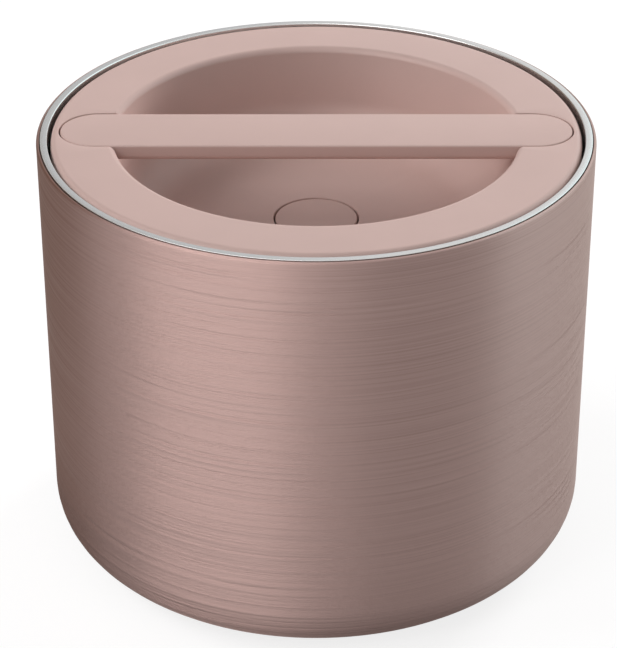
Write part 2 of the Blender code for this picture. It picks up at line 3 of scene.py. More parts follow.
import bmesh
import bpy
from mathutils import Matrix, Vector


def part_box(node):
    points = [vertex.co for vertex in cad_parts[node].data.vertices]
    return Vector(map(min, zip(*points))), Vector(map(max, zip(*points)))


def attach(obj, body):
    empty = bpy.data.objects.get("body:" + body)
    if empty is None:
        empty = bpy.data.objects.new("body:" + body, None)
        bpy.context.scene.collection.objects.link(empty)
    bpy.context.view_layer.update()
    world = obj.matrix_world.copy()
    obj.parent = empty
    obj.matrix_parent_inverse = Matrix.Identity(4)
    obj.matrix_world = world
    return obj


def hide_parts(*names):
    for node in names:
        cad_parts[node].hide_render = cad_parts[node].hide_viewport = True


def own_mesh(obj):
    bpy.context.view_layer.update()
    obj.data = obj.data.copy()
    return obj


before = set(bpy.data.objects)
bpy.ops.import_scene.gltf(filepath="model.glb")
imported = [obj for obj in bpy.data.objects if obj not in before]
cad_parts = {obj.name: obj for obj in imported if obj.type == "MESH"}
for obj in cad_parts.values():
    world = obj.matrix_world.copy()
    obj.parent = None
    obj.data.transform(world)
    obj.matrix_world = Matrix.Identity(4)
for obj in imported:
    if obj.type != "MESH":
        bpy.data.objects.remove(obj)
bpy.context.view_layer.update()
print("frame loaded:", len(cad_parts), "nodes")

mm = 0.001
scene = bpy.context.scene


# bottom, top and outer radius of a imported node
def reachOf(node):
    low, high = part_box(node)
    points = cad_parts[node].data.vertices
    return low.z, high.z, max(math.hypot(p.co.x, p.co.y) for p in points)


jarBottom, jarTop, jarRadius = reachOf("outer_shell")
vesselBottom, rimHeight, lipRadius = reachOf("inner_vessel")
coverBottom, flangeTop, flangeRadius = reachOf("lid_cover")
plugBottom, plugTop = reachOf("lid_plug")[:2]
buttonBottom, buttonTop, buttonRadius = reachOf("vent_button")


# mesh helpers

meshing = {
    "pole": 0.0001 * mm,    # an outline's point this near the axis isn't turned round it
    "weld": 0.004 * mm,     # corners this close become one after a cut
    "crease": 34,           # degrees past which an edge is shaded sharp
}


def onCircle(radius, angle, x=0.0, y=0.0):
    return x + radius * math.cos(angle), y + radius * math.sin(angle)


# sine and cosine at each step of a quarter turn
def quarterTurn(steps):
    angles = [math.pi / 2 * k / steps for k in range(steps + 1)]
    return [(math.sin(a), math.cos(a)) for a in angles]


# outline from (x, y, rounding) corners, with an arc at each rounded one
def softCorners(corners, steps=6, ring=True):
    outline = []
    last = len(corners) - 1
    for i, (x, y, rounding) in enumerate(corners):
        if rounding == 0 or (not ring and i in (0, last)):
            outline.append((x, y))
            continue
        here = Vector((x, y))
        before = (Vector(corners[i - 1][:2]) - here).normalized()
        after = (Vector(corners[(i + 1) % len(corners)][:2]) - here).normalized()
        half = before.angle(after) / 2
        centre = here + (before + after).normalized() * (rounding / math.sin(half))
        start = here + before * (rounding / math.tan(half)) - centre
        end = here + after * (rounding / math.tan(half)) - centre
        first = math.atan2(start.y, start.x)
        sweep = (math.atan2(end.y, end.x) - first + math.pi) % math.tau - math.pi
        for k in range(steps + 1):
            angle = first + sweep * k / steps
            outline.append(onCircle(rounding, angle, centre.x, centre.y))
    return outline


# faces between neighbouring loops of points; a loop of one point is a pole
def skinLoops(name, loops, ring=False, caps=False):
    shape = bmesh.new()
    rows = [[shape.verts.new(p) for p in loop] for loop in loops]
    pairs = list(zip(rows, rows[1:]))
    if ring:
        pairs.append((rows[-1], rows[0]))
    for upper, lower in pairs:
        count = max(len(upper), len(lower))
        for k in range(count):
            n = (k + 1) % count
            around = ((upper, k), (upper, n), (lower, n), (lower, k))
            corners = list(dict.fromkeys(row[i % len(row)] for row, i in around))
            if len(corners) > 2:
                shape.faces.new(corners)
    if caps:
        shape.faces.new(rows[0])
        shape.faces.new(rows[-1])
    bmesh.ops.recalc_face_normals(shape, faces=shape.faces)
    mesh = bpy.data.meshes.new(name)
    shape.to_mesh(mesh)
    shape.free()
    return mesh


# (radius, height) outline turned round the jar's axis
def turnOutline(name, outline, segments, ring=True):
    turns = [math.tau * (k + 0.5) / segments for k in range(segments)]
    loops = []
    for radius, height in outline:
        if radius < meshing["pole"]:
            loops.append([(0, 0, height)])
        else:
            loops.append([(*onCircle(radius, a), height) for a in turns])
    return skinLoops(name, loops, ring=ring)


def looseObject(name, data):
    holder = bpy.data.objects.new(name, data)
    scene.collection.objects.link(holder)
    return holder


# mesh of an object as its modifiers or its bevel leave it
def settledMesh(holder):
    bpy.context.view_layer.update()
    graph = bpy.context.evaluated_depsgraph_get()
    return bpy.data.meshes.new_from_object(holder.evaluated_get(graph))


# joins and cuts a mesh with others, in the order given, and returns the result
def carve(mesh, steps):
    blank = looseObject("blank", mesh)
    helpers = []
    for operation, other in steps:
        helper = looseObject("helper", other)
        cut = blank.modifiers.new(operation, "BOOLEAN")
        cut.operation = operation
        cut.object = helper
        helpers.append(helper)
    weld = blank.modifiers.new("weld", "WELD")
    weld.merge_threshold = meshing["weld"]
    result = settledMesh(blank)
    result.name = mesh.name
    for holder in [blank, *helpers]:
        bpy.data.objects.remove(holder)
    return result


def coat(mesh, material):
    mesh.materials.clear()
    mesh.materials.append(material)


# a finished piece: shaded, riding on its body, standing for its node
def addPiece(name, mesh, material, body, node):
    piece = looseObject(name, mesh)
    coat(mesh, material)
    mesh.shade_smooth()
    mesh.set_sharp_from_angle(angle=math.radians(meshing["crease"]))
    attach(piece, body)
    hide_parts(node)
    return piece


# material helpers

noiseSpan = (0.3, 0.7)      # most of a noise lies in here


def startMaterial(name, **sockets):
    material = bpy.data.materials.new(name)
    material.use_nodes = True
    tree = material.node_tree
    shader = tree.nodes["Principled BSDF"]
    for socket, value in sockets.items():
        shader.inputs[socket.replace("_", " ")].default_value = value
    return material, tree, shader


def noiseOver(tree, place, scale, detail, rough):
    noise = tree.nodes.new("ShaderNodeTexNoise")
    noise.inputs["Scale"].default_value = scale
    noise.inputs["Detail"].default_value = detail
    noise.inputs["Roughness"].default_value = rough
    tree.links.new(place, noise.inputs["Vector"])
    return noise.outputs["Fac"]


# noise in the piece's own space, with so many cells per metre along each axis
def addNoise(tree, cells, detail=3.0, rough=0.55):
    place = tree.nodes.new("ShaderNodeTexCoord")
    mapping = tree.nodes.new("ShaderNodeMapping")
    mapping.inputs["Scale"].default_value = cells
    tree.links.new(place.outputs["Object"], mapping.inputs["Vector"])
    return noiseOver(tree, mapping.outputs["Vector"], 1.0, detail, rough)


# noise in rings round the jar's axis, as turning leaves them
def addTurnedNoise(tree, cells, detail=3.0, rough=0.6):
    place = tree.nodes.new("ShaderNodeTexCoord")
    flat = tree.nodes.new("ShaderNodeVectorMath")
    flat.operation = "MULTIPLY"
    flat.inputs[1].default_value = (1, 1, 0)
    radius = tree.nodes.new("ShaderNodeVectorMath")
    radius.operation = "LENGTH"
    height = tree.nodes.new("ShaderNodeSeparateXYZ")
    both = tree.nodes.new("ShaderNodeCombineXYZ")
    tree.links.new(place.outputs["Object"], flat.inputs[0])
    tree.links.new(place.outputs["Object"], height.inputs["Vector"])
    tree.links.new(flat.outputs["Vector"], radius.inputs[0])
    tree.links.new(radius.outputs["Value"], both.inputs["X"])
    tree.links.new(height.outputs["Z"], both.inputs["Z"])
    return noiseOver(tree, both.outputs["Vector"], cells, detail, rough)


# remaps a grey value from one span to another
def addRange(tree, value, fromSpan, toSpan=(0.0, 1.0)):
    spread = tree.nodes.new("ShaderNodeMapRange")
    ends = ("From Min", "From Max", "To Min", "To Max")
    for socket, end in zip(ends, (*fromSpan, *toSpan)):
        spread.inputs[socket].default_value = end
    tree.links.new(value, spread.inputs["Value"])
    return spread.outputs["Result"]


def addMath(tree, operation, first, second):
    node = tree.nodes.new("ShaderNodeMath")
    node.operation = operation
    for socket, value in zip(node.inputs, (first, second)):
        if isinstance(value, (int, float)):
            socket.default_value = value
        else:
            tree.links.new(value, socket)
    return node.outputs["Value"]


# one grey value with a share of another
def addBlend(tree, first, second, share):
    most = addMath(tree, "MULTIPLY", first, 1 - share)
    return addMath(tree, "ADD", most, addMath(tree, "MULTIPLY", second, share))


# base colour between two shares of a colour, as a grey value goes from 0 to 1
def addTint(tree, shader, value, colour, tone):
    ramp = tree.nodes.new("ShaderNodeValToRGB")
    for element, share in zip(ramp.color_ramp.elements, tone):
        element.color = (*(c * share for c in colour), 1.0)
    tree.links.new(value, ramp.inputs["Fac"])
    tree.links.new(ramp.outputs["Color"], shader.inputs["Base Color"])


def addRoughness(tree, shader, value, fromSpan, toSpan):
    tree.links.new(addRange(tree, value, fromSpan, toSpan), shader.inputs["Roughness"])


def addBump(tree, shader, height, strength, depth):
    bump = tree.nodes.new("ShaderNodeBump")
    bump.inputs["Strength"].default_value = strength
    bump.inputs["Distance"].default_value = depth
    tree.links.new(height, bump.inputs["Height"])
    tree.links.new(bump.outputs["Normal"], shader.inputs["Normal"])


# rose tinted steel with fine brushing round the jar
brushed = {
    "colour": (0.48, 0.331, 0.304),
    "edgeTint": (0.75, 0.68, 0.64, 1.0),
    "contrast": 0.035,
    "roughness": 0.51,
    "roughSpread": 0.16,
    "anisotropy": 0.85,
    "anisotropyTurn": 0.25,         # of a full turn
    # cells per metre: two sets of nearly level rings, and the patches in which they take turns
    "fineLines": (2, 2, 2600),
    "wideLines": (2, 2, 1400),
    "patches": (25, 25, 420),
    "patchSpan": (0.35, 0.65),
    "lineSpan": (0.36, 0.64),
    "lineBump": 0.35,
    "lineDepth": 0.02 * mm,
}


def brushedRose():
    material, tree, shader = startMaterial(
        "roseBrushedSteel",
        Metallic=1.0,
        Anisotropic=brushed["anisotropy"],
        Anisotropic_Rotation=brushed["anisotropyTurn"],
        Specular_Tint=brushed["edgeTint"],
    )
    around = tree.nodes.new("ShaderNodeTangent")
    around.direction_type = "RADIAL"
    around.axis = "Z"
    tree.links.new(around.outputs["Tangent"], shader.inputs["Tangent"])
    fine = addNoise(tree, brushed["fineLines"], detail=2.0, rough=0.6)
    wide = addNoise(tree, brushed["wideLines"], detail=2.0, rough=0.6)
    patch = addRange(tree, addNoise(tree, brushed["patches"], detail=1.0), brushed["patchSpan"])
    change = addMath(tree, "MULTIPLY", addMath(tree, "SUBTRACT", fine, wide), patch)
    lines = addMath(tree, "ADD", wide, change)
    grain = addRange(tree, lines, brushed["lineSpan"])
    tone = (1 - brushed["contrast"], 1 + brushed["contrast"])
    addTint(tree, shader, grain, brushed["colour"], tone)
    rough, spread = brushed["roughness"], brushed["roughSpread"]
    addRoughness(tree, shader, grain, (0.0, 1.0), (rough + spread, rough - spread))
    addBump(tree, shader, lines, brushed["lineBump"], brushed["lineDepth"])
    return material


# bare turned steel
bare = {
    # roughness and depth of the lines
    "bareSteelVessel": (0.27, 0.003 * mm),
    "bareSteelHardware": (0.3, 0.004 * mm),
    "colour": (0.62, 0.617, 0.61),
    "tone": (0.97, 1.03),           # darkest and lightest share of the colour
    "roughSpread": 0.02,
    "lines": 2200,                  # per metre
    "clouds": (40, 40, 40),
    "cloudShare": 0.25,
    "lineBump": 0.2,
}


def bareSteel(name):
    rough, depth = bare[name]
    material, tree, shader = startMaterial(name, Metallic=1.0)
    lines = addTurnedNoise(tree, bare["lines"])
    cloud = addNoise(tree, bare["clouds"], detail=1.0)
    grain = addRange(tree, addBlend(tree, lines, cloud, bare["cloudShare"]), noiseSpan)
    addTint(tree, shader, grain, bare["colour"], bare["tone"])
    spread = bare["roughSpread"]
    addRoughness(tree, shader, grain, (0.0, 1.0), (rough + spread, rough - spread))
    addBump(tree, shader, lines, bare["lineBump"], depth)
    return material


# moulded plastic with a fine spark grain; sharp edges are lighter in colour, partly as wear and
# partly as a painted highlight
plastic = {
    # colour, roughness, size and depth of the grain, lift of the sharp edges (wear and painted
    # highlight)
    "rosePlastic": ((0.565, 0.398, 0.362), 0.5, 0.32 * mm, 0.012 * mm, 0.06),
    "plugPlastic": ((0.34, 0.335, 0.335), 0.46, 0.28 * mm, 0.01 * mm, 0.05),
    "specular": 0.42,
    "tone": (0.97, 1.045),          # darkest and lightest share of the colour
    "toneSpan": (0.3, 0.8),
    "clouds": (55, 55, 55),         # per metre
    "grainShare": 0.3,
    "edgeWearAndSheen": (0.52, 0.60),           # pointiness of an edge, from no lift to the full lift of wear and painted highlight
    "smoother": 0.05,
    "rougher": 0.06,
    "grainBump": 0.3,
}


def mouldedPlastic(name):
    colour, rough, grainSize, grainDepth, edgeWearAndSheenLift = plastic[name]
    material, tree, shader = startMaterial(name, Specular_IOR_Level=plastic["specular"])
    cloud = addNoise(tree, plastic["clouds"])
    speck = addNoise(tree, (1 / grainSize,) * 3, detail=2.0, rough=0.6)
    edge = tree.nodes.new("ShaderNodeNewGeometry").outputs["Pointiness"]
    # painted highlight with some wear: sharp edges get a lighter colour
    edgeWearAndSheen = addRange(tree, edge, plastic["edgeWearAndSheen"], (0.0, edgeWearAndSheenLift))
    tone = addMath(tree, "ADD", addBlend(tree, cloud, speck, plastic["grainShare"]), edgeWearAndSheen)
    addTint(tree, shader, addRange(tree, tone, plastic["toneSpan"]), colour, plastic["tone"])
    roughSpan = (rough - plastic["smoother"], rough + plastic["rougher"])
    addRoughness(tree, shader, speck, noiseSpan, roughSpan)
    addBump(tree, shader, speck, plastic["grainBump"], grainDepth)
    return material


# silicone: soft, slightly see-through, with a faint bloom
rubber = {
    "colour": (0.62, 0.60, 0.58),
    "tone": (0.94, 1.05),           # darkest and lightest share of the colour
    "specular": 0.4,
    "seeThrough": 0.12,
    "lightReach": (1.2 * mm, 1.0 * mm, 0.9 * mm),
    "clouds": (120, 120, 120),      # per metre
    "specks": (2600, 2600, 2600),
    "roughness": (0.5, 0.66),
    "speckBump": 0.25,
    "speckDepth": 0.01 * mm,
}


def siliconeRubber():
    material, tree, shader = startMaterial(
        "silicone",
        Specular_IOR_Level=rubber["specular"],
        Subsurface_Weight=rubber["seeThrough"],
        Subsurface_Radius=rubber["lightReach"],
        Subsurface_Scale=1.0,
    )
    cloud = addNoise(tree, rubber["clouds"])
    speck = addNoise(tree, rubber["specks"], detail=2.0)
    addTint(tree, shader, addRange(tree, cloud, noiseSpan), rubber["colour"], rubber["tone"])
    addRoughness(tree, shader, speck, noiseSpan, rubber["roughness"])
    addBump(tree, shader, speck, rubber["speckBump"], rubber["speckDepth"])
    return material


# what lies inside the walls and the lid: lumpy and rougher in the hollows, with painted shade
# that makes the hollows darker in colour
inside = {
    # colour, metallic, roughness, size and depth of the lumps
    "copperFoil": ((0.72, 0.36, 0.22), 1.0, 0.28, 4 * mm, 0.05 * mm),
    "getterMetal": ((0.30, 0.30, 0.31), 1.0, 0.6, 0.4 * mm, 0.03 * mm),
    "solderGlass": ((0.20, 0.17, 0.14), 0.0, 0.2, 0.8 * mm, 0.02 * mm),
    "whiteFoam": ((0.86, 0.86, 0.84), 0.0, 0.85, 1.2 * mm, 0.15 * mm),
    "tone": (0.85, 1.08),           # darkest and lightest share of the colour
    "rougher": 0.08,
    "smoother": 0.06,
    "lumpBump": 0.4,
}


def insideFinish(name):
    colour, metallic, rough, lumpSize, lumpDepth = inside[name]
    material, tree, shader = startMaterial(name, Metallic=metallic)
    lumps = addNoise(tree, (1 / lumpSize,) * 3, detail=4.0, rough=0.6)
    # painted shade: the low lumps, the hollows of the bump, get the darker colour
    addTint(tree, shader, addRange(tree, lumps, noiseSpan), colour, inside["tone"])
    roughSpan = (rough + inside["rougher"], rough - inside["smoother"])
    addRoughness(tree, shader, lumps, noiseSpan, roughSpan)
    addBump(tree, shader, lumps, inside["lumpBump"], lumpDepth)
    return material


roseSteel = brushedRose()
rimSteel = bareSteel("bareSteelVessel")
smallSteel = bareSteel("bareSteelHardware")
rosePlastic = mouldedPlastic("rosePlastic")
plugPlastic = mouldedPlastic("plugPlastic")
silicone = siliconeRubber()
print("materials ready")


# outer shell

shell = {
    "sheet": 0.6 * mm,
    "topRise": 0.2 * mm,            # the top is drawn a little higher than it is packed
    "topEdge": 0.5 * mm,
    "boreEdge": 0.05 * mm,
    "corner": 12 * mm,
    "standingRing": 3.4 * mm,
    "recess": 2.0 * mm,
    "recessEdge": 0.7 * mm,
    "recessBack": 0.1 * mm,         # rounding on the hidden side of that edge
    "roofEdge": 0.3 * mm,
    "roofBack": 0.5 * mm,
    "port": 2.0 * mm,
    "arcSteps": 12,
    "segments": 256,
}


def outerShell():
    sheet = shell["sheet"]
    recessWall = jarRadius - shell["corner"] - shell["standingRing"]
    roof = jarBottom + shell["recess"]
    bore = jarRadius - sheet
    edge = jarTop + shell["topRise"]
    outline = softCorners([
        (jarRadius, edge, shell["topEdge"]),
        (jarRadius, jarBottom, shell["corner"]),
        (recessWall, jarBottom, shell["recessEdge"]),
        (recessWall, roof, shell["roofEdge"]),
        (shell["port"], roof, 0),
        (shell["port"], roof + sheet, 0),
        (recessWall + sheet, roof + sheet, shell["roofBack"]),
        (recessWall + sheet, jarBottom + sheet, shell["recessBack"]),
        (bore, jarBottom + sheet, shell["corner"] - sheet),
        (bore, edge, shell["boreEdge"]),
    ], steps=shell["arcSteps"])
    mesh = turnOutline("outerShell", outline, shell["segments"])
    addPiece("outer_shell_brushed", mesh, roseSteel, "jar", "outer_shell")


# screw threads on the mouth and on the plug

thread = {
    "starts": 3,
    "span": 150.0,          # degrees for each ridge
    "rise": 6.25 * mm,      # of each ridge over its span
    "depth": 1.6 * mm,
    "root": 2.4 * mm,
    "crest": 1.2 * mm,
    "crestEdge": 0.25 * mm,
    "fade": 18.0,           # degrees of lead-in at each end
    "stub": 0.04,           # share of the height at the very ends
    "turnedBy": 3.75,       # degrees
    "crestSteps": 3,
    "steps": 80,
}


# one ridge: side is 1 on the plug and -1 inside the mouth
def threadRidge(wall, side, sink, upperEnd, start):
    section = softCorners([
        (-sink, -thread["root"] / 2, 0),
        (thread["depth"], -thread["crest"] / 2, thread["crestEdge"]),
        (thread["depth"], thread["crest"] / 2, thread["crestEdge"]),
        (-sink, thread["root"] / 2, 0),
    ], steps=thread["crestSteps"])
    loops = []
    for k in range(thread["steps"] + 1):
        turn = thread["span"] * k / thread["steps"]
        lead = min(1.0, min(turn, thread["span"] - turn) / thread["fade"])
        height = thread["stub"] + (1 - thread["stub"]) * lead
        centre = upperEnd - thread["rise"] * (1 - k / thread["steps"])
        angle = math.radians(turn + thread["turnedBy"] + 360.0 * start / thread["starts"])
        loop = []
        for out, up in section:
            radius = wall + side * (out * height if out > 0 else out)
            loop.append((*onCircle(radius, angle), centre + up))
        loops.append(loop)
    return skinLoops("ridge", loops, caps=True)


def threadRidges(wall, side, sink, upperEnd):
    ridges = [threadRidge(wall, side, sink, upperEnd, start) for start in range(thread["starts"])]
    return [("UNION", ridge) for ridge in ridges]


# food vessel with its rim

vessel = {
    "sheet": 0.6 * mm,
    "lipSpread": 0.10 * mm,         # the lip narrows the welded seam to the shell
    "lipRise": 0.15 * mm,
    "lipWidth": 1.54 * mm,
    "lipHeight": 2.5 * mm,
    "lipInnerEdge": 0.25 * mm,
    "lipOuterEdge": 0.06 * mm,
    "lipLowerEdge": 0.2 * mm,
    "lipCrown": 0.06 * mm,          # the lip is a little rounded on top
    "crownRound": 2 * mm,
    "seamEdge": 0.1 * mm,
    "mouthSet": 0.24 * mm,          # the mouth's wall stands back from the lip
    "foodRadius": 55.0 * mm,
    "shoulderTop": 20.67 * mm,      # below the rim
    "shoulderBottom": 23.57 * mm,
    "shoulderSlope": 45.0,          # degrees
    "shoulderEdge": 1.2 * mm,
    "corner": 9.4 * mm,
    "threadTop": 8.3 * mm,          # centre of a ridge's upper end, below the rim
    "arcSteps": 8,
    "segments": 192,
}
rimRadius = lipRadius + vessel["lipSpread"]
rimBore = rimRadius - vessel["lipWidth"]
mouthRadius = rimBore + vessel["mouthSet"]


def foodVessel():
    sheet, lipSet, soft = vessel["sheet"], vessel["mouthSet"], vessel["shoulderEdge"]
    mitre = sheet * math.tan(math.radians(vessel["shoulderSlope"] / 2))
    high = rimHeight - vessel["shoulderTop"]
    low = rimHeight - vessel["shoulderBottom"]
    food = vessel["foodRadius"]
    floor = vesselBottom + sheet
    lipTop = rimHeight + vessel["lipRise"]
    lipSide = lipTop - vessel["lipCrown"]
    lipLow = rimHeight - vessel["lipHeight"]
    outline = softCorners([
        (0, floor, 0),
        (food, floor, vessel["corner"]),
        (food, low, soft),
        (mouthRadius, high, soft),
        (mouthRadius, lipLow, lipSet),
        (rimBore, lipLow + lipSet, lipSet),
        (rimBore, lipSide, vessel["lipInnerEdge"]),
        (rimBore + vessel["lipWidth"] / 2, lipTop, vessel["crownRound"]),
        (rimRadius, lipSide, vessel["lipOuterEdge"]),
        (rimRadius, lipLow, vessel["lipLowerEdge"]),
        (mouthRadius + sheet, lipLow, vessel["seamEdge"]),
        (mouthRadius + sheet, high - mitre, soft),
        (food + sheet, low - mitre, soft),
        (food + sheet, vesselBottom, vessel["corner"] + sheet),
        (0, vesselBottom, 0),
    ], steps=vessel["arcSteps"], ring=False)
    mesh = turnOutline("foodVessel", outline, vessel["segments"], ring=False)
    upperEnd = rimHeight - vessel["threadTop"]
    mesh = carve(mesh, threadRidges(mouthRadius, -1, sheet / 2, upperEnd))
    addPiece("food_vessel_and_rim", mesh, rimSteel, "jar", "inner_vessel")


# base: silicone ring and steel disc

pad = {"bore": 25.3 * mm, "topEdge": 0.2 * mm, "footEdge": 0.6 * mm, "segments": 192}
disc = {"edge": 0.2 * mm, "segments": 192}


def footPad():
    low, high, radius = reachOf("foot_pad")
    outline = softCorners([
        (radius, high, pad["topEdge"]),
        (radius, low, pad["footEdge"]),
        (pad["bore"], low, pad["footEdge"]),
        (pad["bore"], high, pad["topEdge"]),
    ])
    mesh = turnOutline("footPad", outline, pad["segments"])
    addPiece("foot_pad_silicone", mesh, silicone, "jar", "foot_pad")


def baseDisc():
    low, high, radius = reachOf("base_disc")
    outline = softCorners([
        (0, high, 0),
        (radius, high, disc["edge"]),
        (radius, low, disc["edge"]),
        (0, low, 0),
    ], ring=False)
    mesh = turnOutline("baseDisc", outline, disc["segments"], ring=False)
    addPiece("base_disc_spun", mesh, smallSteel, "jar", "base_disc")


# lid cover: flush flange, finger well and the two pockets of the bar

cover = {
    "flangeSpread": 0.1 * mm,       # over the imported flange: its rounded edge hides part of it
    "flangeEdge": 1.4 * mm,
    "plate": 2.4 * mm,
    "skirt": 6.3 * mm,
    "wall": 2.0 * mm,
    "lowerEdge": 0.3 * mm,
    "lowerRoot": 0.5 * mm,          # inside corners under the plate
    "wellEdgeRadius": 44.95 * mm,
    "wellEdge": 1.5 * mm,
    "wellDepth": 21.2 * mm,
    "draft": 6.0,                   # degrees
    "wellCorner": 10 * mm,
    "holeRadius": 9.35 * mm,
    "holeEdge": 0.3 * mm,
    "pocketDepth": 3.9 * mm,
    "pocketFloor": 2.1 * mm,
    "pocketHalfWidth": 8.33 * mm,
    "pocketHalfLength": 55.4 * mm,
    "pocketStart": 36 * mm,         # from the axis, in the open well
    "pocketEdge": 0.15 * mm,        # softened edge round the bar
    "pocketFlare": 2.25 * mm,       # rounding where a pocket opens into the well
    "blockPast": 0.6 * mm,          # solid past a pocket's end
    "pegPlace": 49.55 * mm,
    "pegHole": 3.1 * mm,
    "cutOver": 1 * mm,              # cutters reach this far past the solid
    "cutSlack": 0.02 * mm,          # and this far past the well's edge
    "blankSteps": 10,
    "wellSteps": 14,
    "edgeSteps": 4,
    "pegSegments": 48,
    "segments": 216,
}
blockLow = flangeTop - cover["pocketDepth"] - cover["pocketFloor"]


# radius of the well's leaning wall at a depth, moved out by outside
def wellWall(depth, outside=0.0):
    lean = math.radians(cover["draft"])
    setBack = cover["wellEdge"] / math.tan(math.radians(90 + cover["draft"]) / 2)
    return cover["wellEdgeRadius"] - setBack - depth * math.tan(lean) + outside / math.cos(lean)


# outline of a pocket on one side, seen from above, grown by a little at the top edge
def pocketOutline(side, grow, steps=24):
    halfWidth = cover["pocketHalfWidth"] + grow
    flare = cover["pocketFlare"] - grow
    sideways = cover["pocketHalfWidth"] + cover["pocketFlare"]
    reach = wellWall(cover["pocketDepth"]) + cover["pocketFlare"]
    along = math.sqrt(reach ** 2 - sideways ** 2)
    tip = cover["pocketHalfLength"] - cover["pocketHalfWidth"]
    towardsAxis = math.atan2(sideways, -along)
    lower = [(cover["pocketStart"], -sideways)]
    for k in range(steps // 2 + 1):
        angle = towardsAxis + (math.pi / 2 - towardsAxis) * k / (steps // 2)
        lower.append(onCircle(flare, angle, along, -sideways))
    angles = [-math.pi / 2 + math.pi * k / steps for k in range(steps + 1)]
    nose = [onCircle(halfWidth, a, tip) for a in angles]
    upper = [(x, -y) for x, y in reversed(lower)]
    return [(side * x, y) for x, y in lower + nose + upper]


def pocketCutter(side):
    edge = cover["pocketEdge"]
    levels = [(edge, cover["cutOver"])]
    levels += [(edge * (1 - s), -edge * (1 - c)) for s, c in quarterTurn(cover["edgeSteps"])]
    levels.append((0.0, -cover["pocketDepth"]))
    loops = []
    for grow, z in levels:
        loops.append([(x, y, flangeTop + z) for x, y in pocketOutline(side, grow)])
    return skinLoops("pocket", loops, caps=True)


# stadium outline with straight sides along X
def stadiumOutline(halfLength, halfWidth, steps=40):
    outline = []
    for side in (1, -1):
        for k in range(steps + 1):
            angle = -math.pi / 2 + math.pi * k / steps
            x, y = onCircle(halfWidth, angle, halfLength - halfWidth)
            outline.append((side * x, side * y))
    return outline


# solid that carries the pockets under the flange
def pocketBlock():
    halfLength = cover["pocketHalfLength"] + cover["blockPast"]
    outline = stadiumOutline(halfLength, cover["pocketHalfWidth"] + cover["wall"])
    levels = (flangeTop - cover["plate"] / 2, blockLow)
    return skinLoops("block", [[(x, y, z) for x, y in outline] for z in levels], caps=True)


# upright pin beside the axis, for the pegs and their holes
def peg(x, radius, high, low, segments, edge=0.0):
    corners = [(0, high, 0), (radius, high, 0), (radius, low, edge), (0, low, 0)]
    mesh = turnOutline("peg", softCorners(corners, ring=False), segments, ring=False)
    for v in mesh.vertices:
        v.co.x += x
    return mesh


# the moulding before its cuts
def coverBlank():
    wall, lowerEdge = cover["wall"], cover["lowerEdge"]
    rim = flangeRadius + cover["flangeSpread"]
    skirtBore = flangeRadius - wall
    skirtLow = flangeTop - cover["skirt"]
    plateLow = flangeTop - cover["plate"]
    wellLow = flangeTop - cover["wellDepth"] - wall
    collar = cover["holeRadius"] + wall
    outline = softCorners([
        (0, flangeTop, 0),
        (rim, flangeTop, cover["flangeEdge"]),
        (rim, skirtLow, lowerEdge),
        (skirtBore, skirtLow, lowerEdge),
        (skirtBore, plateLow, cover["lowerRoot"]),
        (wellWall(cover["plate"], wall), plateLow, cover["lowerRoot"]),
        (wellWall(cover["wellDepth"] + wall, wall), wellLow, cover["wellCorner"] + wall),
        (collar, wellLow, lowerEdge),
        (collar, coverBottom, lowerEdge),
        (0, coverBottom, 0),
    ], steps=cover["blankSteps"], ring=False)
    return turnOutline("lidCover", outline, cover["segments"], ring=False)


# the finger well and the button's hole
def wellCutter():
    over, hole = cover["cutOver"], cover["holeRadius"]
    floor = flangeTop - cover["wellDepth"]
    past = cover["wellEdgeRadius"] + cover["cutSlack"]
    outline = [(0, flangeTop + over), (past, flangeTop + over), (past, flangeTop)]
    bowl = softCorners([
        (cover["wellEdgeRadius"] + cover["wall"], flangeTop, 0),    # only leads into the rounding
        (wellWall(0), flangeTop, cover["wellEdge"]),
        (wellWall(cover["wellDepth"]), floor, cover["wellCorner"]),
        (hole, floor, cover["holeEdge"]),
        (hole, coverBottom - over, 0),
        (0, coverBottom - over, 0),
    ], steps=cover["wellSteps"], ring=False)
    return turnOutline("well", outline + bowl[1:], cover["segments"], ring=False)


def lidCover():
    steps = [("UNION", pocketBlock()), ("DIFFERENCE", wellCutter())]
    holeTop = flangeTop - cover["pocketDepth"] + cover["cutOver"]
    holeLow = blockLow - cover["cutOver"]
    for side in (1, -1):
        x = side * cover["pegPlace"]
        hole = peg(x, cover["pegHole"], holeTop, holeLow, cover["pegSegments"])
        steps.append(("DIFFERENCE", pocketCutter(side)))
        steps.append(("DIFFERENCE", hole))
    mesh = carve(coverBlank(), steps)
    addPiece("lid_cover_moulding", mesh, rosePlastic, "lid", "lid_cover")


# handle bar

bar = {
    "thickness": 3.6 * mm,
    "trim": 0.25 * mm,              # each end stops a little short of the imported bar
    "topEdge": 0.35 * mm,
    "topSteps": 8,
    "gripEdge": 1.4 * mm,
    "gripSteps": 10,
    "pegRadius": 2.8 * mm,
    "pegEdge": 0.3 * mm,
    "pegSegments": 48,
    "boreRadius": 1.6 * mm,
    "boreTop": 1.4 * mm,
    "boreOver": 1 * mm,             # the cutter reaches this far past the peg
    "boreSegments": 40,
}


